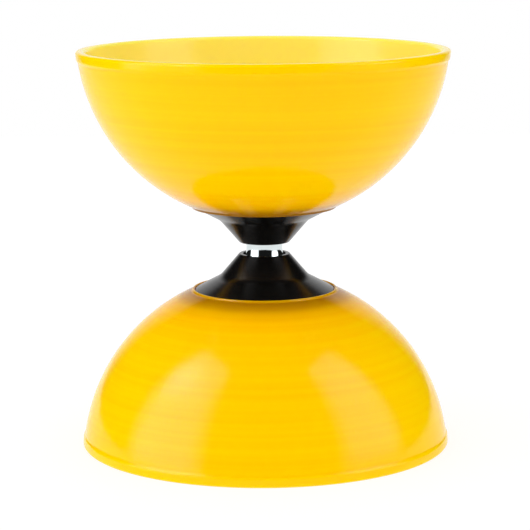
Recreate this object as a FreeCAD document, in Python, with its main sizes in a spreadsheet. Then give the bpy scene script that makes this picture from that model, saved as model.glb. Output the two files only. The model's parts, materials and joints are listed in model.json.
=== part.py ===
"""A free-running diabolo: two flexible cups on black hubs, clamped to a steel spindle on which a
waisted axle sleeve turns in two ball bearings and a one-way roller clutch.

The origin is on the surface that the lower cup's rim rests on, and +Z runs up the spin axis.
The two halves are the same. Each end piece is drawn with its local z counted outwards from the
middle plane, and turned over for the lower half.
"""

import FreeCAD, Part
import math
import os
import re

import Sketcher

V = FreeCAD.Vector

# Driving dimensions in millimetres. "up" means the distance from the middle plane.
DIMENSIONS = {
    # whole object
    "overall_height": 134.0,
    # cup
    "rim_radius": 62.5,
    "bead_height": 3.0,
    "bead_proud": 0.4,
    "bead_slope": 0.8,
    "bead_slope_round": 1.0,
    "bead_upper_round": 0.9,
    "rim_inner_round": 1.2,
    "bowl_radius": 63.3,
    "bowl_centre_height": 5.4,
    "bowl_wall": 2.8,
    "seat_up": 15.8,
    "seat_radius": 23.75,
    "seat_lip_width": 0.65,
    "seat_lip_up": 13.9,
    "seat_lip_round": 0.3,
    "floor_up": 18.2,
    "floor_round": 0.8,
    "cup_hole_radius": 9.0,
    # hub
    "hub_tip_up": 2.0,
    "hub_tip_radius": 8.5,
    "hub_tip_round": 0.4,
    "hub_knee_up": 9.7,
    "hub_knee_radius": 15.1,
    "hub_knee_round": 6.0,
    "hub_edge_up": 14.2,
    "hub_edge_radius": 23.6,
    "hub_edge_round": 0.35,
    "hub_recess_radius": 7.2,
    "hub_recess_round": 0.2,
    "hub_web_up": 11.0,
    "hub_spigot_radius": 8.95,
    "hub_spigot_up": 17.9,
    "rib_count": 8,
    "rib_thickness": 1.4,
    "core_inner_from": 9.4,
    "core_inner_to": 11.9,
    "core_inner_up": 7.8,
    "core_outer_from": 13.4,
    "core_outer_to": 19.0,
    "core_outer_up": 13.3,
    # clamp disc inside the cup
    "disc_radius": 25.2,
    "disc_top_up": 22.8,
    "disc_edge_round": 0.9,
    "disc_ring_round": 0.4,
    "disc_draft": 0.6,
    "disc_channel_up": 21.2,
    "disc_rim_from": 22.6,
    "disc_ridge_from": 15.6,
    "disc_ridge_to": 17.8,
    "disc_collar_radius": 10.4,
    "disc_collar_up": 24.6,
    "disc_web_up": 20.2,
    "disc_well_radius": 7.9,
    # fasteners
    "bolt_radius": 2.5,
    "bolt_clearance": 0.05,
    "thread_pitch": 0.8,
    "thread_depth": 0.42,
    "thread_from_up": 19.0,
    "thread_rings": 10,
    "spindle_end_up": 27.2,
    "spindle_chamfer": 0.5,
    "washer_radius": 7.5,
    "washer_thickness": 1.2,
    "washer_round": 0.25,
    "nut_flats": 8.0,
    "nut_hex_height": 3.8,
    "nut_height": 5.0,
    "nut_chamfer": 0.45,
    "nut_face_inset": 0.1,
    "nut_collar_radius": 3.5,
    "nut_lip_radius": 2.95,
    "nut_lip_thickness": 0.25,
    "insert_radius": 3.2,
    "insert_thickness": 0.9,
    # axle sleeve
    "sleeve_half_length": 10.3,
    "sleeve_radius": 6.5,
    "waist_radius": 6.1,
    "waist_half_length": 2.6,
    "sleeve_bore_radius": 5.0,
    "sleeve_chamfer": 0.3,
    # ball bearings
    "journal_radius": 3.0,
    "journal_half_length": 6.1,
    "bearing_width": 4.0,
    "inner_ring_radius": 3.35,
    "outer_ring_radius": 4.35,
    "ball_radius": 0.7,
    "ball_pitch_radius": 3.8,
    "ball_count": 8,
    "race_clearance": 0.03,
    "cage_inner_radius": 3.5,
    "cage_outer_radius": 4.15,
    "cage_width": 2.0,
    "cage_pocket_radius": 0.76,
    "shield_radius": 4.75,
    "shield_bore_radius": 3.5,
    "shield_thickness": 0.2,
    "shield_depth": 0.3,
    "spacer_radius": 3.3,
    # one-way roller clutch
    "clutch_half_length": 6.0,
    "shell_inner_radius": 4.3,
    "shell_lip_radius": 3.5,
    "shell_lip_thickness": 0.6,
    "roller_count": 8,
    "roller_radius": 0.6,
    "roller_pitch_radius": 3.63,
    "roller_half_length": 4.2,
    "ramp_radius": 0.9,
    "ramp_pitch_radius": 3.55,
    "ramp_lead_angle": 5.0,
    "clutch_cage_inner": 3.2,
    "clutch_cage_outer": 4.15,
    "clutch_cage_half": 5.2,
    "slot_before": 0.66,
    "slot_after": 1.04,
    "slot_half_length": 4.4,
    "spring_thickness": 0.12,
    "spring_half_length": 2.0,
    "spring_inner_radius": 3.35,
    "spring_outer_radius": 4.05,
}

# Lengths that several pieces share
BOLT_HOLE = "bolt_radius + bolt_clearance"
NUT_SEAT = "disc_web_up + washer_thickness"
BEARING_NEAR = "journal_half_length"
BEARING_FAR = "journal_half_length + bearing_width"
BEARING_MIDDLE = "journal_half_length + bearing_width / 2"
RACE_SECTION = ("ball_pitch_radius", BEARING_MIDDLE, "ball_radius + race_clearance")

FULL_TURN = 360.0
ZERO = 1e-9
MATCH_TOLERANCE = 1e-4

doc = FreeCAD.newDocument("diabolo")
sheet = doc.addObject("Spreadsheet::Sheet", "dims")
subparts = []


def fill_sheet():
    """One row for each driving dimension: its name, and its value with that name as alias."""
    for row, (alias, value) in enumerate(DIMENSIONS.items(), start=1):
        sheet.set(f"A{row}", alias)
        sheet.set(f"B{row}", str(value))
        sheet.setAlias(f"B{row}", alias)
    doc.recompute()


def bound(expression):
    """The expression with the sheet's name in front of each of its aliases."""
    return re.sub(r"[a-z_]{2,}", lambda m: "dims." + m[0] if m[0] in DIMENSIONS else m[0], expression)


def value_of(expression):
    return float(sheet.evalExpression(bound(expression)))


def bind(thing, path, expression):
    thing.setExpression(path, bound(expression))


def plane_of(body, role):
    return next(o for o in body.Origin.OriginFeatures if o.Role == role)


def new_body(label):
    body = doc.addObject("PartDesign::Body", label)
    body.Label = label
    subparts.append(body)
    return body


def arc_between(start, end, radius, side):
    """The short arc from start to end. It bulges to the left of that way for side 1, right for -1."""
    chord = end - start
    left = V(-chord.y, chord.x, 0).normalize()
    reach = math.sqrt(radius**2 - (chord.Length / 2) ** 2)
    centre = (start + end) / 2 - left * side * reach
    middle = centre + left * side * radius
    return Part.Arc(start, middle, end)


def draw(sketch, outline):
    """Adds a closed outline of corners, each (x, y) or (x, y, radius, side) as expressions.

    A corner with a radius is reached by an arc instead of a straight line.
    """
    first = sketch.GeometryCount
    corners = [V(value_of(c[0]), value_of(c[1]), 0) for c in outline]
    count = len(corners)
    for i, corner in enumerate(outline):
        start, end = corners[i - 1], corners[i]
        if len(corner) == 4:
            arc = arc_between(start, end, value_of(corner[2]), corner[3])
            sketch.addGeometry(arc, False)
        else:
            sketch.addGeometry(Part.LineSegment(start, end), False)
    # An arc runs anticlockwise whichever way it was drawn, so its ends may be swapped.
    ends = []
    for i in range(count):
        swapped = sketch.getPoint(first + i, 2).distanceToPoint(corners[i]) > MATCH_TOLERANCE
        ends.append((2, 1) if swapped else (1, 2))
    for i, corner in enumerate(outline):
        here, after = first + i, first + (i + 1) % count
        tip, tail = ends[i][1], ends[(i + 1) % count][0]
        sketch.addConstraint(Sketcher.Constraint("Coincident", here, tip, after, tail))
        fix_point(sketch, here, tip, corner, corners[i])
        if len(corner) == 4:
            fix(sketch, Sketcher.Constraint("Radius", here, value_of(corner[2])), corner[2])


def fix(sketch, constraint, expression):
    number = sketch.addConstraint(constraint)
    bind(sketch, f"Constraints[{number}]", expression)


def fix_point(sketch, line, end, place, point):
    """Holds one end of a line, now at point, at a place whose x and y are expressions."""
    for kind, axis, expression, size in (
        ("DistanceX", -2, place[0], point.x),
        ("DistanceY", -1, place[1], point.y),
    ):
        if abs(size) < ZERO:
            sketch.addConstraint(Sketcher.Constraint("PointOnObject", line, end, axis))
        else:
            fix(sketch, Sketcher.Constraint(kind, -1, 1, line, end, size), expression)


def draw_circle(sketch, x, y, radius):
    """Adds a circle whose centre and radius are expressions."""
    centre = V(value_of(x), value_of(y), 0)
    number = sketch.addGeometry(Part.Circle(centre, V(0, 0, 1), value_of(radius)), False)
    fix(sketch, Sketcher.Constraint("Radius", number, value_of(radius)), radius)
    fix_point(sketch, number, 3, (x, y), centre)


def new_sketch(body, name, role, lift=None):
    """A sketch on one of the body's own origin planes, lifted off it by an expression."""
    sketch = body.newObject("Sketcher::SketchObject", name)
    sketch.AttachmentSupport = [(plane_of(body, role), "")]
    sketch.MapMode = "FlatFace"
    if lift:
        bind(sketch, "AttachmentOffset.Base.z", lift)
    return sketch


def revolve(body, name, outline):
    """A solid of revolution about the body's Z axis."""
    sketch = new_sketch(body, name + "_profile", "XZ_Plane")
    draw(sketch, outline)
    feature = body.newObject("PartDesign::Revolution", name)
    feature.Profile = sketch
    feature.ReferenceAxis = (sketch, ["V_Axis"])
    feature.Angle = FULL_TURN
    doc.recompute()
    return feature


def groove(body, name, outline=None, circle=None):
    """Cuts a ring out of the body, from an outline or a circle of its section."""
    sketch = new_sketch(body, name + "_section", "XZ_Plane")
    if outline:
        draw(sketch, outline)
    if circle:
        draw_circle(sketch, *circle)
    feature = body.newObject("PartDesign::Groove", name)
    feature.Profile = sketch
    feature.ReferenceAxis = (sketch, ["V_Axis"])
    feature.Angle = FULL_TURN
    doc.recompute()
    return feature


def pocket(body, name, sketch, depth):
    """Cuts from the sketch towards local +z by the depth."""
    feature = body.newObject("PartDesign::Pocket", name)
    feature.Profile = sketch
    feature.Reversed = True
    bind(feature, "Length", depth)
    doc.recompute()
    return feature


def cut_primitive(body, kind, name, role, sizes):
    """Cuts a Cylinder or Box out of the body, its sizes and offsets bound to expressions."""
    feature = body.newObject(f"PartDesign::Subtractive{kind}", name)
    feature.AttachmentSupport = [(plane_of(body, role), "")]
    feature.MapMode = "FlatFace"
    for path, expression in sizes.items():
        bind(feature, path, expression)
    doc.recompute()
    return feature


def around(body, name, features, count):
    """Repeats cut or added features around the body's Z axis."""
    pattern = body.newObject("PartDesign::PolarPattern", name)
    pattern.Originals = features
    pattern.Axis = (plane_of(body, "Z_Axis"), [""])
    pattern.Angle = FULL_TURN
    bind(pattern, "Occurrences", count)
    body.Tip = pattern
    doc.recompute()
    return pattern


def round_rings(body, name, rings, size):
    """Rounds the circular edges given as (radius, height) expressions."""
    base = body.Tip
    wanted = [(value_of(radius), value_of(height)) for radius, height in rings]
    names = []
    for number, edge in enumerate(base.Shape.Edges, start=1):
        if edge.Curve.TypeId != "Part::GeomCircle" or abs(edge.Curve.Axis.z) < 1 - ZERO:
            continue
        ring = (edge.Curve.Radius, edge.Curve.Center.z)
        if any(math.dist(ring, w) < MATCH_TOLERANCE for w in wanted):
            names.append(f"Edge{number}")
    if len(names) != len(rings):
        raise ValueError(f"{name}: found {len(names)} of {len(rings)} edges to round")
    feature = body.newObject("PartDesign::Fillet", name)
    feature.Base = (base, names)
    bind(feature, "Radius", size)
    doc.recompute()
    return feature


def place(thing, half, up="0"):
    """Puts a piece on the middle plane and turns it over for the lower half."""
    if half == "lower":
        thing.Placement = FreeCAD.Placement(V(), FreeCAD.Rotation(V(1, 0, 0), 180))
        bind(thing, "Placement.Base.z", f"overall_height / 2 - ({up})")
    else:
        bind(thing, "Placement.Base.z", f"overall_height / 2 + ({up})")


def ring(label, inner, outer, bottom, top):
    """A plain flat ring, such as a washer."""
    body = new_body(label)
    revolve(body, "ring", [(inner, bottom), (outer, bottom), (outer, top), (inner, top)])
    return body


def bowl_offset():
    """How far the centre of the bowl's curve lies beyond the spin axis.

    It makes the bead's widest ring, just under its upper round, come out at the rim's radius.
    """
    rise = "(bowl_centre_height + bead_upper_round)"
    return f"(sqrt((bowl_radius + bead_proud)^2 - {rise}^2) - rim_radius)"


def bowl_at(height, out="0"):
    """The bowl's radius at a height above the middle plane, a distance out from its outer surface."""
    rise = f"(overall_height / 2 + bowl_centre_height - ({height}))"
    return f"(sqrt((bowl_radius + {out})^2 - {rise}^2) - {bowl_offset()})"


def bowl_height_at(radius):
    """The height of the bowl's outer surface at a radius, above the middle plane."""
    reach = f"(({radius}) + {bowl_offset()})"
    return f"(overall_height / 2 + bowl_centre_height - sqrt(bowl_radius^2 - {reach}^2))"


def make_cup(half):
    """The flexible bowl: a bead round its rim, and a seat for the hub in its crown."""
    rim = "overall_height / 2"
    bead = f"{rim} - bead_height"
    slope = f"{bead} - bead_slope"
    lip = "seat_radius + seat_lip_width"
    crown = f"{lip} + seat_lip_round"
    bead_foot, bead_top = bowl_at(bead, "bead_proud"), bowl_at(rim, "bead_proud")
    rim_inside, floor_edge = bowl_at(rim, "(-bowl_wall)"), bowl_at("floor_up", "(-bowl_wall)")
    body = new_body(f"{half}_cup")
    revolve(body, "bowl", [
        ("cup_hole_radius", "seat_up"),
        ("seat_radius", "seat_up"),
        ("seat_radius", "seat_lip_up"),
        (lip, "seat_lip_up"),
        (crown, bowl_height_at(crown)),
        (bowl_at(slope), slope, "bowl_radius", -1),
        (bead_foot, bead),
        (bead_top, rim, "bowl_radius + bead_proud", -1),
        (rim_inside, rim),
        (floor_edge, "floor_up", "bowl_radius - bowl_wall", 1),
        ("cup_hole_radius", "floor_up"),
    ])
    round_rings(body, "bead_slope", [(bowl_at(slope), slope), (bead_foot, bead)], "bead_slope_round")
    round_rings(body, "bead_top", [(bead_top, rim)], "bead_upper_round")
    round_rings(body, "rim_inside", [(rim_inside, rim)], "rim_inner_round")
    round_rings(body, "seat_lip", [("seat_radius", "seat_lip_up"), (lip, "seat_lip_up")], "seat_lip_round")
    round_rings(body, "floor_corner", [(floor_edge, "floor_up")], "floor_round")
    place(body, half)


def make_hub(half):
    """The black cone that carries the cup, cored out behind and bored for the axle sleeve's end."""
    body = new_body(f"{half}_hub")
    revolve(body, "cone", [
        ("hub_recess_radius", "hub_tip_up"),
        ("hub_tip_radius", "hub_tip_up"),
        ("hub_knee_radius", "hub_knee_up"),
        ("hub_edge_radius", "hub_edge_up"),
        ("hub_edge_radius", "seat_up"),
        ("hub_spigot_radius", "seat_up"),
        ("hub_spigot_radius", "hub_spigot_up"),
        (BOLT_HOLE, "hub_spigot_up"),
        (BOLT_HOLE, "hub_web_up"),
        ("hub_recess_radius", "hub_web_up"),
    ])
    round_rings(body, "tip_round", [("hub_tip_radius", "hub_tip_up")], "hub_tip_round")
    round_rings(body, "recess_round", [("hub_recess_radius", "hub_tip_up")], "hub_recess_round")
    round_rings(body, "knee_round", [("hub_knee_radius", "hub_knee_up")], "hub_knee_round")
    round_rings(body, "edge_round", [("hub_edge_radius", "hub_edge_up")], "hub_edge_round")
    cores = [
        core_pocket(body, name, f"core_{name}_from", f"core_{name}_to", f"core_{name}_up")
        for name in ("inner", "outer")
    ]
    around(body, "cores", cores, "rib_count")
    place(body, half)


def core_pocket(body, name, inner, outer, up):
    """One pocket between two ribs, cut into the hub's back."""
    half_rib = "rib_thickness / 2"
    turn = "(360 deg / rib_count)"

    def beside_rib(radius):
        """The pocket's corner at a radius, half a rib's thickness from the first rib's middle."""
        return f"sqrt(({radius})^2 - ({half_rib})^2)", half_rib

    def beside_next_rib(radius):
        """The same corner, mirrored to the side of the next rib."""
        along, across = beside_rib(radius)
        x = f"({along} * cos({turn}) + {across} * sin({turn}))"
        y = f"({along} * sin({turn}) - {across} * cos({turn}))"
        return x, y

    sketch = new_sketch(body, name + "_pocket_outline", "XY_Plane", up)
    draw(sketch, [
        beside_rib(outer),
        (*beside_next_rib(outer), outer, -1),
        beside_next_rib(inner),
        (*beside_rib(inner), inner, 1),
    ])
    return pocket(body, name + "_pocket", sketch, f"seat_up - {up}")


def make_clamp_disc(half):
    """The stiff disc inside the cup that spreads the nut's load, with a well for the nut."""
    well = "disc_well_radius"
    body = new_body(f"{half}_clamp_disc")
    revolve(body, "disc", [
        (BOLT_HOLE, "floor_up"),
        ("disc_radius - disc_draft", "floor_up"),
        ("disc_radius", "floor_up + disc_draft"),
        ("disc_radius", "disc_top_up"),
        ("disc_rim_from", "disc_top_up"),
        ("disc_rim_from - disc_draft", "disc_channel_up"),
        ("disc_ridge_to + disc_draft", "disc_channel_up"),
        ("disc_ridge_to", "disc_top_up"),
        ("disc_ridge_from", "disc_top_up"),
        ("disc_ridge_from - disc_draft", "disc_channel_up"),
        ("disc_collar_radius + disc_draft", "disc_channel_up"),
        ("disc_collar_radius", "disc_collar_up"),
        (well, "disc_collar_up"),
        (well, "disc_web_up"),
        (BOLT_HOLE, "disc_web_up"),
    ])
    round_rings(body, "edge_round", [("disc_radius", "disc_top_up")], "disc_edge_round")
    round_rings(body, "ring_rounds", [
        ("disc_rim_from", "disc_top_up"),
        ("disc_ridge_to", "disc_top_up"),
        ("disc_ridge_from", "disc_top_up"),
        ("disc_collar_radius", "disc_collar_up"),
        (well, "disc_collar_up"),
    ], "disc_ring_round")
    place(body, half)


def make_washer(half):
    """The broad washer on the clamp disc's web."""
    top = "disc_web_up + washer_thickness"
    body = ring(f"{half}_washer", BOLT_HOLE, "washer_radius", "disc_web_up", top)
    edges = [("washer_radius", "disc_web_up"), ("washer_radius", top)]
    round_rings(body, "edge_rounds", edges, "washer_round")
    place(body, half)


def make_nut_insert(half):
    """The nylon ring that is rolled into the lock nut's collar."""
    top = f"{NUT_SEAT} + nut_height - nut_lip_thickness"
    body = ring(f"{half}_nut_insert", BOLT_HOLE, "insert_radius", f"{top} - insert_thickness", top)
    place(body, half)


def make_lock_nut(half):
    """A hexagon nut with a round collar that holds the nylon ring."""
    corner = "nut_flats / sqrt(3)"
    chamfered = "nut_flats / 2 - nut_face_inset"
    hex_top = f"{NUT_SEAT} + nut_hex_height"
    top = f"{NUT_SEAT} + nut_height"
    lip = f"{top} - nut_lip_thickness"
    body = new_body(f"{half}_lock_nut")
    revolve(body, "blank", [
        (BOLT_HOLE, NUT_SEAT),
        (chamfered, NUT_SEAT),
        (corner, f"{NUT_SEAT} + nut_chamfer"),
        (corner, f"{hex_top} - nut_chamfer"),
        (chamfered, hex_top),
        ("nut_collar_radius", hex_top),
        ("nut_collar_radius", top),
        ("nut_lip_radius", top),
        ("nut_lip_radius", lip),
        ("insert_radius", lip),
        ("insert_radius", f"{lip} - insert_thickness"),
        (BOLT_HOLE, f"{lip} - insert_thickness"),
    ])
    sketch = new_sketch(body, "flats_outline", "XY_Plane", NUT_SEAT)
    turns = [60 * k for k in range(6)]
    draw(sketch, [(f"{corner} * cos({turn} deg)", f"{corner} * sin({turn} deg)") for turn in turns])
    draw_circle(sketch, "0", "0", "nut_flats")
    pocket(body, "flats", sketch, "nut_height")
    place(body, half)


def make_spindle():
    """The fixed steel shaft: a hard journal in the middle, bearing seats, and a thread at each end."""
    body = new_body("spindle")
    end, seat = "spindle_end_up", "journal_half_length"
    inner = "bolt_radius - spindle_chamfer"
    revolve(body, "shaft", [
        ("0", f"-{end}"),
        (inner, f"-{end}"),
        ("bolt_radius", f"spindle_chamfer - {end}"),
        ("bolt_radius", f"-{seat}"),
        ("journal_radius", f"-{seat}"),
        ("journal_radius", seat),
        ("bolt_radius", seat),
        ("bolt_radius", f"{end} - spindle_chamfer"),
        (inner, end),
        ("0", end),
    ])
    for name, sign in (("upper_thread", ""), ("lower_thread", "-")):
        cut_thread(body, name, sign)
    place(body, "upper")


def cut_thread(body, name, sign):
    """Ring grooves of the thread's pitch and depth, in steps towards the end of the shaft."""
    crest = "bolt_radius + 0.1"
    half_pitch = "thread_pitch * 0.4"
    for k in range(int(value_of("thread_rings"))):
        root = f"thread_from_up + {k} * thread_pitch"
        groove(body, f"{name}_{k}", [
            (crest, f"{sign}({root} - {half_pitch})"),
            ("bolt_radius - thread_depth", f"{sign}({root})"),
            (crest, f"{sign}({root} + {half_pitch})"),
        ])


def make_sleeve():
    """The chromed tube that the string runs on, hollowed in a gentle arc between the hubs."""
    body = new_body("axle_sleeve")
    half, waist = "sleeve_half_length", "waist_half_length"
    dip = "(sleeve_radius - waist_radius)"
    arc = f"(({waist})^2 + {dip}^2) / (2 * {dip})"
    revolve(body, "tube", [
        ("sleeve_bore_radius", f"-{half}"),
        ("sleeve_radius - sleeve_chamfer", f"-{half}"),
        ("sleeve_radius", f"sleeve_chamfer - {half}"),
        ("sleeve_radius", f"-{waist}"),
        ("sleeve_radius", waist, arc, 1),
        ("sleeve_radius", f"{half} - sleeve_chamfer"),
        ("sleeve_radius - sleeve_chamfer", half),
        ("sleeve_bore_radius", half),
    ])
    place(body, "upper")


def make_bearing_rings(half):
    """The inner ring on the spindle and the outer ring in the sleeve, each with its ball race."""
    inner = ring(f"{half}_bearing_inner_ring", "bolt_radius", "inner_ring_radius", BEARING_NEAR, BEARING_FAR)
    groove(inner, "race", circle=RACE_SECTION)
    place(inner, half)

    outer = new_body(f"{half}_bearing_outer_ring")
    revolve(outer, "ring", [
        ("shield_radius", BEARING_NEAR),
        ("sleeve_bore_radius", BEARING_NEAR),
        ("sleeve_bore_radius", BEARING_FAR),
        ("shield_radius", BEARING_FAR),
        ("shield_radius", f"{BEARING_FAR} - shield_depth"),
        ("outer_ring_radius", f"{BEARING_FAR} - shield_depth"),
        ("outer_ring_radius", f"{BEARING_NEAR} + shield_depth"),
        ("shield_radius", f"{BEARING_NEAR} + shield_depth"),
    ])
    groove(outer, "race", circle=RACE_SECTION)
    place(outer, half)


def make_bearing_cage(half):
    """The ring that keeps the balls apart, with a round window for each ball."""
    low, high = f"{BEARING_MIDDLE} - cage_width / 2", f"{BEARING_MIDDLE} + cage_width / 2"
    cage = ring(f"{half}_bearing_cage", "cage_inner_radius", "cage_outer_radius", low, high)
    window = cut_primitive(cage, "Cylinder", "window", "YZ_Plane", {
        "Radius": "cage_pocket_radius",
        "Height": "cage_outer_radius",
        "AttachmentOffset.Base.y": BEARING_MIDDLE,
        "AttachmentOffset.Base.z": "cage_inner_radius / 2",
    })
    around(cage, "windows", [window], "ball_count")
    place(cage, half)


def make_bearing_balls(half):
    balls = []
    for k in range(int(value_of("ball_count"))):
        ball = doc.addObject("Part::Sphere", f"{half}_ball_{k}")
        bind(ball, "Radius", "ball_radius")
        put_around(ball, "ball_pitch_radius", k, "ball_count", BEARING_MIDDLE)
        balls.append(ball)
    group(f"{half}_bearing_balls", balls, half)


def make_bearing_shields(half):
    """Two thin washers pressed into the outer ring, one on each side of the balls."""
    shields = []
    near = f"{BEARING_NEAR} + shield_depth - shield_thickness"
    far = f"{BEARING_FAR} - shield_depth"
    for side, low in (("near", near), ("far", far)):
        plate = doc.addObject("Part::Cylinder", f"{half}_{side}_plate")
        hole = doc.addObject("Part::Cylinder", f"{half}_{side}_hole")
        for cylinder, radius in ((plate, "shield_radius"), (hole, "shield_bore_radius")):
            bind(cylinder, "Radius", radius)
            bind(cylinder, "Height", "shield_thickness")
            bind(cylinder, "Placement.Base.z", low)
        shield = doc.addObject("Part::Cut", f"{half}_{side}_shield")
        shield.Base = plate
        shield.Tool = hole
        shields.append(shield)
    group(f"{half}_bearing_shields", shields, half)


def make_bearing_spacer(half):
    """The thin ring between the inner ring and the hub's web."""
    place(ring(f"{half}_bearing_spacer", BOLT_HOLE, "spacer_radius", BEARING_FAR, "hub_web_up"), half)


def put_around(thing, pitch, number, count, height):
    """Places one of a ring of pieces at its turn about the Z axis."""
    turn = f"({number} * 360 deg / {count})"
    bind(thing, "Placement.Base.x", f"{pitch} * cos({turn})")
    bind(thing, "Placement.Base.y", f"{pitch} * sin({turn})")
    bind(thing, "Placement.Base.z", height)


def group(label, members, half="upper"):
    """One node made of several separate solids."""
    node = doc.addObject("Part::Compound", label)
    node.Label = label
    node.Links = members
    place(node, half)
    subparts.append(node)


def make_clutch_shell():
    """The drawn steel cup of the one-way clutch, with a shallow ramp behind each roller."""
    half, inside = "clutch_half_length", "clutch_half_length - shell_lip_thickness"
    shell = new_body("clutch_shell")
    revolve(shell, "shell", [
        ("shell_lip_radius", f"-{half}"),
        ("sleeve_bore_radius", f"-{half}"),
        ("sleeve_bore_radius", half),
        ("shell_lip_radius", half),
        ("shell_lip_radius", inside),
        ("shell_inner_radius", inside),
        ("shell_inner_radius", f"-({inside})"),
        ("shell_lip_radius", f"-({inside})"),
    ])
    ramp = cut_primitive(shell, "Cylinder", "ramp", "XY_Plane", {
        "Radius": "ramp_radius",
        "Height": "2 * slot_half_length",
        "AttachmentOffset.Base.x": "ramp_pitch_radius * cos(ramp_lead_angle * 1 deg)",
        "AttachmentOffset.Base.y": "ramp_pitch_radius * sin(ramp_lead_angle * 1 deg)",
        "AttachmentOffset.Base.z": "-slot_half_length",
    })
    around(shell, "ramps", [ramp], "roller_count")
    place(shell, "upper")


def make_clutch_cage():
    """The plastic cage of the clutch, with a slot for each roller and its leaf spring."""
    low, high = "-clutch_cage_half", "clutch_cage_half"
    cage = ring("clutch_cage", "clutch_cage_inner", "clutch_cage_outer", low, high)
    slot = cut_primitive(cage, "Box", "slot", "XY_Plane", {
        "Length": "clutch_cage_outer",
        "Width": "slot_before + slot_after",
        "Height": "2 * slot_half_length",
        "AttachmentOffset.Base.x": "clutch_cage_inner / 2",
        "AttachmentOffset.Base.y": "-slot_before",
        "AttachmentOffset.Base.z": "-slot_half_length",
    })
    around(cage, "slots", [slot], "roller_count")
    place(cage, "upper")


def make_clutch_rollers():
    rollers = []
    for k in range(int(value_of("roller_count"))):
        roller = doc.addObject("Part::Cylinder", f"roller_{k}")
        bind(roller, "Radius", "roller_radius")
        bind(roller, "Height", "2 * roller_half_length")
        put_around(roller, "roller_pitch_radius", k, "roller_count", "-roller_half_length")
        rollers.append(roller)
    group("clutch_rollers", rollers)


def make_clutch_springs():
    """Thin steel leaves, one standing in each roller's slot."""
    springs = []
    for k in range(int(value_of("roller_count"))):
        turn = f"({k} * 360 deg / roller_count)"
        x, y = "spring_inner_radius", "(slot_after - spring_thickness)"
        leaf = doc.addObject("Part::Box", f"leaf_spring_{k}")
        leaf.Placement.Rotation = FreeCAD.Rotation(V(0, 0, 1), k * FULL_TURN / value_of("roller_count"))
        bind(leaf, "Length", "spring_outer_radius - spring_inner_radius")
        bind(leaf, "Width", "spring_thickness")
        bind(leaf, "Height", "2 * spring_half_length")
        bind(leaf, "Placement.Base.x", f"{x} * cos({turn}) - {y} * sin({turn})")
        bind(leaf, "Placement.Base.y", f"{x} * sin({turn}) + {y} * cos({turn})")
        bind(leaf, "Placement.Base.z", "-spring_half_length")
        springs.append(leaf)
    group("clutch_springs", springs)


def check_and_write():
    """Stops on any failed feature or bad shape, then writes each sub-part to its own STEP file."""
    doc.recompute()
    for thing in doc.Objects:
        if "Invalid" in thing.State or "Error" in thing.State:
            raise RuntimeError(f"{thing.Label} failed to recompute: {thing.State}")
    os.makedirs("parts", exist_ok=True)
    for part in subparts:
        shape = part.Shape
        if shape.isNull() or not shape.isValid() or not shape.Solids:
            raise RuntimeError(f"{part.Label} has no valid solid")
        shape.exportStep(f"parts/{part.Label}.step")
        print(f"{part.Label}: {len(shape.Solids)} solids, {shape.Volume:.1f} mm3")


fill_sheet()
for side in ("lower", "upper"):
    make_cup(side)
    make_hub(side)
    make_clamp_disc(side)
    make_washer(side)
    make_lock_nut(side)
    make_nut_insert(side)
    make_bearing_rings(side)
    make_bearing_cage(side)
    make_bearing_balls(side)
    make_bearing_shields(side)
    make_bearing_spacer(side)
make_spindle()
make_sleeve()
make_clutch_shell()
make_clutch_cage()
make_clutch_rollers()
make_clutch_springs()
check_and_write()
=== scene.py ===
"""Studio scene for the diabolo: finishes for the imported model's nodes, lights, floor and camera.

Everything is in metres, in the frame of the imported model: the origin is under the lower cup, on the
surface that its rim rests on, and +Z runs up the spin axis. The camera looks along +Y.
"""

import json
import math

import bpy
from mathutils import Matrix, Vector


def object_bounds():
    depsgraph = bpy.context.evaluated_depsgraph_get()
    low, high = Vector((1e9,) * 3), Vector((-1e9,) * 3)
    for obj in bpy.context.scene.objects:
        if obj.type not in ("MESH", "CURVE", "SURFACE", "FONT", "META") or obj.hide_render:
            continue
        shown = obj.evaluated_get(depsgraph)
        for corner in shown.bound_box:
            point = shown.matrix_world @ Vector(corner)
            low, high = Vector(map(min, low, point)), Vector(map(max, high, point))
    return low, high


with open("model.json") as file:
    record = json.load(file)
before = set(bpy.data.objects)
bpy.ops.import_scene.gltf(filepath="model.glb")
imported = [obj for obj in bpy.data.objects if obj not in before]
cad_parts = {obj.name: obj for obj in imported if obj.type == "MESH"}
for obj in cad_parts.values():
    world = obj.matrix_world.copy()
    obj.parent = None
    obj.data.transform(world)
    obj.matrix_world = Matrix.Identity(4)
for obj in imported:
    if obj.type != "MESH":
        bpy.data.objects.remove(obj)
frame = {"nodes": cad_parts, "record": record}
cad_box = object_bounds()

# Camera, measured from the middle of the diabolo. The lens and its sensor are in millimetres.
CAMERA_DISTANCE = 0.7325
CAMERA_RISE = 0.1231
CAMERA_SIDE = 0.00017
CAMERA_PITCH = math.radians(10.01)
CAMERA_ROLL = math.radians(-0.37)
CAMERA_LENS = 148.9
SENSOR_WIDTH = 36.0

# Studio: a white table top that glows, and upright light panels round it. Each soft edge of a
# softbox takes up SOFT_SIDE of its width or SOFT_END of its height.
TABLE_FRONT = 0.38
TABLE_BACK = 0.9
TABLE_WIDTH = 1.1
TABLE_WHITE = 0.24
TABLE_GLOW = 0.78
FILL_LIGHT = 0.9
ROOM_GLOW = 0.01
SOFT_SIDE = 0.3
SOFT_END = 0.16
LAMP_REACH = 0.45

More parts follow.
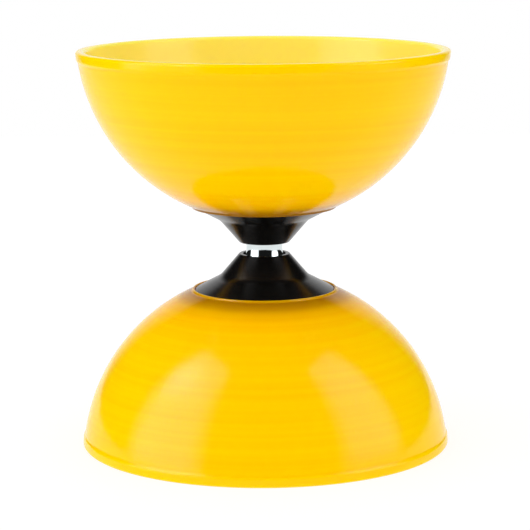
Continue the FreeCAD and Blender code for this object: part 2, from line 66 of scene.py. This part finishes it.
# Colours, as linear light. A cup is between two yellows outside. Inside it is paler towards its rim
# and darker deep in the bowl: painted light and painted shade.
CUP_YELLOW = (0.98, 0.565, 0.0)
CUP_PALE = (1.0, 0.62, 0.0)
CUP_INSIDE_PAINTED_LIGHT = (1.0, 0.79, 0.14)
CUP_DEEP_PAINTED_SHADE = (1.0, 0.66, 0.03)
# Painted shade on the upper cup's lip, where it faces down
UPPER_LIP_PAINTED_SHADE = (0.40, 0.34, 1.0)
UNSHADED = (1.0, 1.0, 1.0)
DISC_YELLOW = (0.95, 0.47, 0.0)
HUB_BLACK = (0.0022, 0.002, 0.0018)
CHROME = (0.74, 0.81, 0.82)
STEEL = (0.55, 0.55, 0.56)
ZINC = (0.62, 0.63, 0.66)
NYLON = (0.75, 0.73, 0.66)
CAGE = (0.60, 0.52, 0.34)

# Painted shade: what the cup's colour is multiplied by at each radius, turning it brown towards the
# hub, where the hub and the other cup shut out light and the black hub under its seat shows through
SHADE_REACH = 0.05
SEAT_PAINTED_SHADE = (
    (0.0246, (0.68, 0.56, 1.0)),
    (0.0253, (0.40, 0.30, 1.0)),
    (0.0280, (0.56, 0.47, 1.0)),
    (0.0305, (0.81, 0.76, 1.0)),
    (0.0340, (0.93, 0.91, 1.0)),
    (0.0410, UNSHADED),
)

# Where one part of a cup's colour gives way to the next: from and to a radius or a height
LIP_EDGE = (0.0246, 0.0251)
SEAT_EDGE = (0.026, 0.028)
INSIDE_FADE = (0.03, 0.058)
WAIST_HEIGHTS = (0.066, 0.068)

# The pattern in each surface: how tightly it is drawn, and how deep its bumps are
FINE_RINGS = 900.0
BROAD_RINGS = 480.0
HUB_RINGS = 1400.0
METAL_RINGS = 2500.0
CUP_FINE_DEPTH = 0.00003
CUP_BROAD_DEPTH = 0.00004
MOULDED_DEPTH = 0.00003
METAL_DEPTH = 0.00002
CHROME_DEPTH = 0.000004
SMALL_PART_DEPTH = 0.00002


# ---------------------------------------------------------------- node helpers

class Nodes:
    """The node tree of a material, light or world, with short calls to add and join nodes."""

    def __init__(self, owner, shader="Principled BSDF"):
        owner.use_nodes = True
        self.owner = owner
        self.tree = owner.node_tree
        self.shader = self.tree.nodes[shader]

    def add(self, kind, **settings):
        """A new node of a kind, named without its ShaderNode prefix."""
        node = self.tree.nodes.new("ShaderNode" + kind)
        for key, value in settings.items():
            setattr(node, key, value)
        return node

    def join(self, output, target):
        """A link from one node's output to another node's input."""
        self.tree.links.new(output, target)

    def math(self, operation, first, second):
        """A Math node. Each operand is an output or a number."""
        node = self.add("Math", operation=operation)
        for socket, value in zip(node.inputs, (first, second)):
            if isinstance(value, (int, float)):
                socket.default_value = value
            else:
                self.join(value, socket)
        return node.outputs[0]

    def noise(self, vector, scale, detail):
        """Noise about 0.5, mostly between 0.3 and 0.7."""
        node = self.add("TexNoise")
        node.inputs["Scale"].default_value = scale
        node.inputs["Detail"].default_value = detail
        self.join(vector, node.inputs["Vector"])
        return node.outputs["Fac"]

    def position(self):
        """The place on the piece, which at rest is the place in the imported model's frame."""
        return self.add("TexCoord").outputs["Object"]

    def ramp(self, factor, low, high, first, last):
        """A colour that goes from first to last as the factor goes from low to high."""
        node = self.add("ValToRGB")
        stops = node.color_ramp.elements
        stops[0].position, stops[1].position = low, high
        stops[0].color, stops[1].color = (*first, 1.0), (*last, 1.0)
        self.join(factor, node.inputs["Fac"])
        return node.outputs["Color"]

    def range(self, factor, low, high, start=0.0, end=1.0, kind="LINEAR"):
        """A number that goes from low to high as the factor goes from start to end."""
        node = self.add("MapRange", interpolation_type=kind)
        node.inputs["From Min"].default_value = start
        node.inputs["From Max"].default_value = end
        node.inputs["To Min"].default_value = low
        node.inputs["To Max"].default_value = high
        self.join(factor, node.inputs["Value"])
        return node.outputs["Result"]

    def inside(self, place, soft):
        """1 inside a strip that place crosses from 0 to 1, fading to 0 at both its edges."""
        first = self.range(place, 0.0, 1.0, 0.0, soft, "SMOOTHSTEP")
        last = self.range(place, 1.0, 0.0, 1.0 - soft, 1.0, "SMOOTHSTEP")
        return self.math("MULTIPLY", first, last)

    def stops(self, factor, colours):
        """A colour read from (radius, colour) pairs. The factor is the radius over SHADE_REACH."""
        node = self.add("ValToRGB")
        elements = node.color_ramp.elements
        while len(elements) < len(colours):
            elements.new(0.5)
        for element, (radius, colour) in zip(elements, colours):
            element.position = radius / SHADE_REACH
            element.color = (*colour, 1.0)
        self.join(factor, node.inputs["Fac"])
        return node.outputs["Color"]

    def radius(self):
        """The distance from the spin axis."""
        flat = self.add("VectorMath", operation="MULTIPLY")
        flat.inputs[1].default_value = (1.0, 1.0, 0.0)
        self.join(self.position(), flat.inputs[0])
        length = self.add("VectorMath", operation="LENGTH")
        self.join(flat.outputs[0], length.inputs[0])
        return length.outputs["Value"]

    def height(self):
        """The height up the spin axis, from the surface that the diabolo stands on."""
        split = self.add("SeparateXYZ")
        self.join(self.position(), split.inputs[0])
        return split.outputs["Z"]

    def rings(self, scale, sweep, detail=4.0):
        """Noise drawn out into rings about the spin axis.

        scale is how tightly the rings lie, and sweep is how quickly they change round the axis.
        """
        split = self.add("SeparateXYZ")
        self.join(self.position(), split.inputs[0])
        x, y, z = split.outputs
        place = self.add("CombineXYZ")
        across = self.math("MULTIPLY", self.radius(), scale)
        self.join(self.math("ADD", across, self.math("MULTIPLY", x, sweep)), place.inputs[0])
        self.join(self.math("MULTIPLY", y, sweep), place.inputs[1])
        self.join(self.math("MULTIPLY", z, scale), place.inputs[2])
        return self.noise(place.outputs[0], 1.0, detail)

    def blend(self, factor, first, second):
        """A colour that goes from first to second as the factor goes from 0 to 1."""
        node = self.add("Mix", data_type="RGBA")
        self.join(factor, node.inputs[0])
        for socket, colour in ((node.inputs[6], first), (node.inputs[7], second)):
            if isinstance(colour, tuple):
                socket.default_value = (*colour, 1.0)
            else:
                self.join(colour, socket)
        return node.outputs[2]

    def multiply(self, first, second):
        """One colour multiplied by another."""
        node = self.add("Mix", data_type="RGBA", blend_type="MULTIPLY")
        node.inputs[0].default_value = 1.0
        self.join(first, node.inputs[6])
        self.join(second, node.inputs[7])
        return node.outputs[2]

    def facing_axis(self):
        """1 on surfaces that face the spin axis, and 0 on those that face away from it."""
        place = self.add("TexCoord")
        outwards = self.add("VectorMath", operation="MULTIPLY")
        outwards.inputs[1].default_value = (1.0, 1.0, 0.0)
        self.join(place.outputs["Object"], outwards.inputs[0])
        unit = self.add("VectorMath", operation="NORMALIZE")
        self.join(outwards.outputs[0], unit.inputs[0])
        dot = self.add("VectorMath", operation="DOT_PRODUCT")
        self.join(unit.outputs[0], dot.inputs[0])
        self.join(place.outputs["Normal"], dot.inputs[1])
        return self.range(dot.outputs["Value"], 0.0, 1.0, 0.1, -0.1)

    def bump(self, height, distance, strength, under=None):
        """Bumps on the shader's surface, on top of the bumps under them if there are any."""
        node = self.add("Bump")
        node.inputs["Strength"].default_value = strength
        node.inputs["Distance"].default_value = distance
        self.join(height, node.inputs["Height"])
        if under:
            self.join(under, node.inputs["Normal"])
        self.join(node.outputs["Normal"], self.shader.inputs["Normal"])
        return node.outputs["Normal"]

    def set(self, **values):
        """Sets the shader's own sockets, named with underscores for spaces."""
        for key, value in values.items():
            self.shader.inputs[key.replace("_", " ")].default_value = value

    def drive(self, socket, output):
        """Joins an output to one of the shader's own sockets."""
        self.join(output, self.shader.inputs[socket])


# ---------------------------------------------------------------- materials

def scaled(colour, factor):
    """A colour made lighter or darker by a factor."""
    return tuple(factor * c for c in colour)


def cup_material():
    """Translucent glossy polyurethane: faint turning lines outside.

    Inside the bowl the colour is painted light, paler towards the rim, and painted shade, darker deep
    down.
    Towards the hub the colour turns brown: painted shade where the hub and the other cup shut out
    light, and the black hub under the seat shows through. The lip round the seat is darker on the
    upper cup, a painted shade where it faces down.
    """
    m = Nodes(bpy.data.materials.new("cup_urethane"))
    fine = m.rings(FINE_RINGS, sweep=2.0)
    broad = m.rings(BROAD_RINGS, sweep=4.0, detail=3.0)
    cloud = m.noise(m.position(), 18.0, 2.0)
    tone = m.math("ADD", m.math("MULTIPLY", broad, 0.75), m.math("MULTIPLY", cloud, 0.25))
    outside = m.ramp(tone, 0.34, 0.66, CUP_YELLOW, CUP_PALE)
    # Painted shade: the cup's colour darkens towards the hub at its seat
    painted_shade = m.multiply(outside, m.stops(m.math("DIVIDE", m.radius(), SHADE_REACH), SEAT_PAINTED_SHADE))
    # Painted shade: the lip of the upper cup only, which faces down, is darkened
    upper = m.range(m.height(), 0.0, 1.0, *WAIST_HEIGHTS)
    lip_shade_mask = m.math("MULTIPLY", upper, m.range(m.radius(), 1.0, 0.0, *LIP_EDGE))
    painted_shade = m.multiply(painted_shade, m.blend(lip_shade_mask, UNSHADED, UPPER_LIP_PAINTED_SHADE))
    # Painted light and shade inside the bowl: paler towards the rim, darker deep down
    inside = m.ramp(m.range(m.radius(), 0.0, 1.0, *INSIDE_FADE), 0.0, 1.0, CUP_DEEP_PAINTED_SHADE, CUP_INSIDE_PAINTED_LIGHT)
    in_bowl = m.math("MULTIPLY", m.facing_axis(), m.range(m.radius(), 0.0, 1.0, *SEAT_EDGE))
    m.drive("Base Color", m.blend(in_bowl, painted_shade, inside))
    m.drive("Roughness", m.range(fine, 0.08, 0.15))
    m.bump(fine, CUP_FINE_DEPTH, 0.3, m.bump(broad, CUP_BROAD_DEPTH, 0.3))
    m.set(IOR=1.45, Specular_IOR_Level=0.15, Subsurface_Weight=1.0, Subsurface_Scale=0.003)
    m.set(Subsurface_Radius=(1.0, 0.9, 0.15))
    return m.owner


def hub_material():
    """Glossy black moulded plastic with fine turning marks."""
    m = Nodes(bpy.data.materials.new("hub_plastic"))
    rings = m.rings(HUB_RINGS, sweep=3.0)
    grain = m.noise(m.position(), 900.0, 3.0)
    m.drive("Base Color", m.ramp(grain, 0.3, 0.7, HUB_BLACK, scaled(HUB_BLACK, 2.0)))
    m.drive("Roughness", m.range(rings, 0.17, 0.25))
    m.bump(rings, MOULDED_DEPTH, 0.4)
    m.set(IOR=1.48, Specular_IOR_Level=0.38)
    return m.owner


def disc_material():
    """Opaque yellow moulded plastic."""
    m = Nodes(bpy.data.materials.new("disc_plastic"))
    grain = m.noise(m.position(), 1200.0, 4.0)
    cloud = m.noise(m.position(), 60.0, 2.0)
    m.drive("Base Color", m.ramp(cloud, 0.3, 0.7, DISC_YELLOW, scaled(DISC_YELLOW, 0.85)))
    m.drive("Roughness", m.range(grain, 0.3, 0.5))
    m.bump(grain, MOULDED_DEPTH, 0.3)
    m.set(IOR=1.5)
    return m.owner


def metal_material(name, colour, smooth, rough, depth=METAL_DEPTH):
    """Turned or ground metal: fine rings, cloudy tone and a roughness between two values."""
    m = Nodes(bpy.data.materials.new(name))
    rings = m.rings(METAL_RINGS, sweep=4.0)
    cloud = m.noise(m.position(), 140.0, 3.0)
    m.drive("Base Color", m.ramp(cloud, 0.25, 0.75, colour, scaled(colour, 0.86)))
    m.drive("Roughness", m.range(rings, smooth, rough))
    m.bump(rings, depth, 0.3)
    m.set(Metallic=1.0)
    return m.owner


def plastic_material(name, colour):
    """Small matte moulded parts."""
    m = Nodes(bpy.data.materials.new(name))
    grain = m.noise(m.position(), 2000.0, 4.0)
    m.drive("Base Color", m.ramp(grain, 0.3, 0.7, colour, scaled(colour, 0.85)))
    m.drive("Roughness", m.range(grain, 0.45, 0.65))
    m.bump(grain, SMALL_PART_DEPTH, 0.4)
    return m.owner


def dress(materials):
    """Puts each slot's material on every node that the record gives that slot."""
    for entry in frame["record"]["subparts"]:
        node = frame["nodes"][entry["node"]]
        node.data.materials.clear()
        node.data.materials.append(materials[entry["material_slot"]])


# ---------------------------------------------------------------- studio

def make_world():
    """A white studio room: white to look at, a soft fill light, and almost dark in mirrors."""
    world = bpy.data.worlds.new("studio")
    bpy.context.scene.world = world
    n = Nodes(world, "Background")
    path = n.add("LightPath").outputs
    matte = n.math("MULTIPLY", path["Is Diffuse Ray"], FILL_LIGHT)
    glossy = n.math("MULTIPLY", path["Is Glossy Ray"], ROOM_GLOW)
    n.drive("Strength", n.math("ADD", n.math("ADD", path["Is Camera Ray"], matte), glossy))
    n.set(Color=(1, 1, 1, 1))


def around(azimuth, distance, height):
    """A place round the object. Azimuth 0 is the camera's side, and it grows towards +X."""
    turn = math.radians(azimuth)
    return Vector((distance * math.sin(turn), -distance * math.cos(turn), height))


def add_panel(name, azimuths, distance, heights, brightness):
    """An upright area light that spans two azimuths and two heights, square on to the object."""
    low, high = heights
    middle = 0.5 * sum(azimuths)
    spread = math.radians(0.5 * abs(azimuths[1] - azimuths[0]))
    light = bpy.data.lights.new(name, "AREA")
    light.shape = "RECTANGLE"
    light.size = 2 * distance * math.tan(spread)
    light.size_y = high - low
    light.energy = brightness * math.pi * light.size * light.size_y
    panel = bpy.data.objects.new(name, light)
    panel.location = around(middle, distance, 0.5 * (low + high))
    panel.rotation_euler = (math.pi / 2, 0, math.radians(middle))
    panel.visible_camera = False
    bpy.context.scene.collection.objects.link(panel)
    return panel


def add_softbox(name, azimuths, distance, heights, brightness, lamp=(0.0, 0.5), rim=1.0):
    """A panel that only glossy surfaces show: soft edged, and brightest in front of its lamp.

    lamp is how far the lamp is to the side of the middle, and its height. LAMP_REACH away from
    it and beyond, the panel is as bright as rim, a fraction of its full brightness.
    """
    panel = add_panel(name, azimuths, distance, heights, brightness)
    panel.visible_diffuse = False
    n = Nodes(panel.data, "Emission")
    split = n.add("SeparateXYZ")
    n.join(n.add("NewGeometry").outputs["Parametric"], split.inputs[0])
    across, up = split.outputs[:2]
    glow = n.math("MULTIPLY", n.inside(across, SOFT_SIDE), n.inside(up, SOFT_END))
    width, height = panel.data.size, panel.data.size_y
    sideways = n.math("MULTIPLY", n.math("SUBTRACT", across, 0.5 + lamp[0] / width), width)
    upwards = n.math("MULTIPLY", n.math("SUBTRACT", up, (lamp[1] - heights[0]) / height), height)
    squares = [n.math("POWER", leg, 2.0) for leg in (sideways, upwards)]
    away = n.math("SQRT", n.math("ADD", *squares), 0.0)
    spot = n.range(away, 1.0, rim, 0.0, LAMP_REACH, "SMOOTHSTEP")
    n.drive("Strength", n.math("MULTIPLY", glow, spot))


def add_fill(name, azimuths, distance, heights, brightness):
    """Soft light that only matte surfaces show."""
    add_panel(name, azimuths, distance, heights, brightness).visible_glossy = False


def make_table():
    """A plain white table top under the object, clear when it is seen from below."""
    side = TABLE_WIDTH / 2
    mesh = bpy.data.meshes.new("studio_table")
    front, back = -TABLE_FRONT, TABLE_BACK
    corners = [(-side, front, 0), (side, front, 0), (side, back, 0), (-side, back, 0)]
    mesh.from_pydata(corners, [], [(0, 1, 2, 3)])
    table = bpy.data.objects.new("studio_table", mesh)
    bpy.context.scene.collection.objects.link(table)
    m = Nodes(bpy.data.materials.new("table_paint"))
    grain = m.noise(m.position(), 400.0, 3.0)
    white = (TABLE_WHITE,) * 3
    m.drive("Base Color", m.ramp(grain, 0.3, 0.7, scaled(white, 0.97), scaled(white, 1.03)))
    m.set(Roughness=0.9, Specular_IOR_Level=0.1)
    m.set(Emission_Color=(1, 1, 1, 1), Emission_Strength=TABLE_GLOW)
    clear = m.add("MixShader")
    m.join(m.add("NewGeometry").outputs["Backfacing"], clear.inputs[0])
    m.join(m.shader.outputs[0], clear.inputs[1])
    m.join(m.add("BsdfTransparent").outputs[0], clear.inputs[2])
    m.join(clear.outputs[0], m.tree.nodes["Material Output"].inputs["Surface"])
    mesh.materials.append(m.owner)


def add_camera():
    """A camera in front of the object, looking slightly down, with a long lens."""
    data = bpy.data.cameras.new("camera")
    data.lens = CAMERA_LENS
    data.sensor_width = SENSOR_WIDTH
    data.clip_start = 0.01
    camera = bpy.data.objects.new("camera", data)
    middle = 0.5 * (cad_box[0][2] + cad_box[1][2])
    camera.location = (CAMERA_SIDE, -CAMERA_DISTANCE, middle + CAMERA_RISE)
    camera.rotation_euler = (math.pi / 2 - CAMERA_PITCH, 0, 0)
    camera.rotation_euler.rotate_axis("Z", CAMERA_ROLL)
    bpy.context.scene.collection.objects.link(camera)
    bpy.context.scene.camera = camera


add_camera()
dress({
    "cup_urethane": cup_material(),
    "hub_plastic": hub_material(),
    "disc_plastic": disc_material(),
    "polished_chrome": metal_material("polished_chrome", CHROME, 0.03, 0.09, CHROME_DEPTH),
    "bearing_steel": metal_material("bearing_steel", STEEL, 0.12, 0.25),
    "shield_steel": metal_material("shield_steel", STEEL, 0.25, 0.4),
    "plated_steel": metal_material("plated_steel", ZINC, 0.2, 0.38),
    "nylon": plastic_material("nylon", NYLON),
    "cage_plastic": plastic_material("cage_plastic", CAGE),
})
make_world()
make_table()
add_softbox("left_softbox", (-34.5, -96.5), 0.8, (-0.4, 1.68), 13.0, lamp=(-0.19, 0.82), rim=0.44)
add_softbox("right_softbox", (43.5, 96.5), 0.8, (-0.1, 1.52), 5.7, lamp=(0.14, 0.8), rim=0.74)
add_softbox("back_softbox", (143, 217), 1.1, (-0.4, 0.95), 0.9)
add_fill("left_fill", (-37, -112), 1.2, (-0.4, 1.6), 0.6)
add_fill("right_fill", (50, 122), 1.2, (-0.4, 1.6), 0.15)
add_fill("front_fill", (-40, 40), 1.2, (0.2, 1.6), 0.35)
add_fill("low_fill", (-50, 50), 0.9, (-1.0, -0.1), 0.7)
bpy.context.scene.view_settings.view_transform = "Standard"
